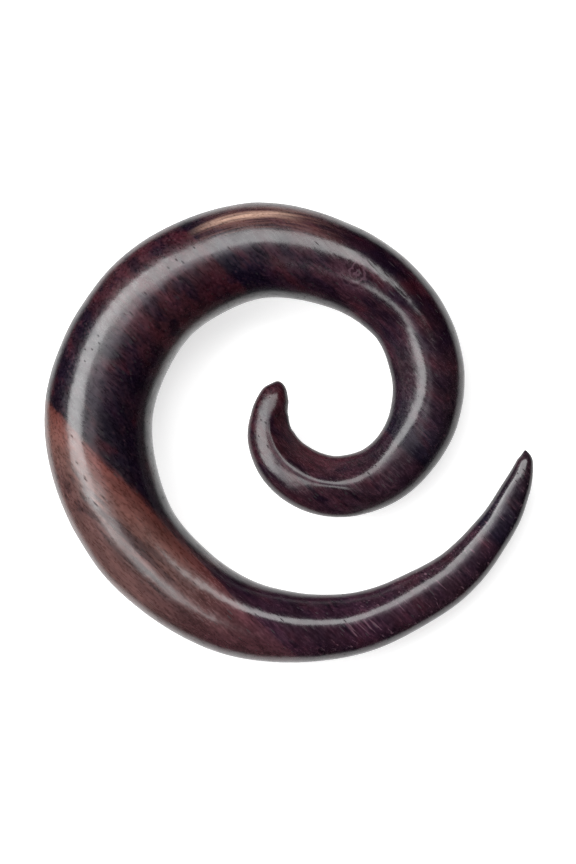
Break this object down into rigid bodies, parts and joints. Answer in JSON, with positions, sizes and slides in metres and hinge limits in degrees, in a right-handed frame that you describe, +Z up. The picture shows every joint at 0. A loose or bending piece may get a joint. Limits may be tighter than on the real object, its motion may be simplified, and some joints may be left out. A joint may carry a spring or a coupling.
{
  "type": "spiral ear taper",
  "caption": "Spiral ear taper of polished dark wood: a round-sectioned coil, thickest in its outer turn, that thins to a point at both ends and lies on its side.",
  "frame": {"origin": "middle of the outline of the coil as it lies on its side, on the surface that it lies on", "axes": "+X from the thickest stretch across the coil to the outer tip, +Z up and square to the surface, +Y completing a right-handed frame, towards the side of the coil where the outer turn closes in on the inner one"},
  "size_m": [0.054, 0.0508, 0.0121],
  "materials": {
    "dark_wood": "gloss"
  },
  "bodies": {
    "root": {"spiral_taper": "dark_wood"}
  },
  "joints": []
}
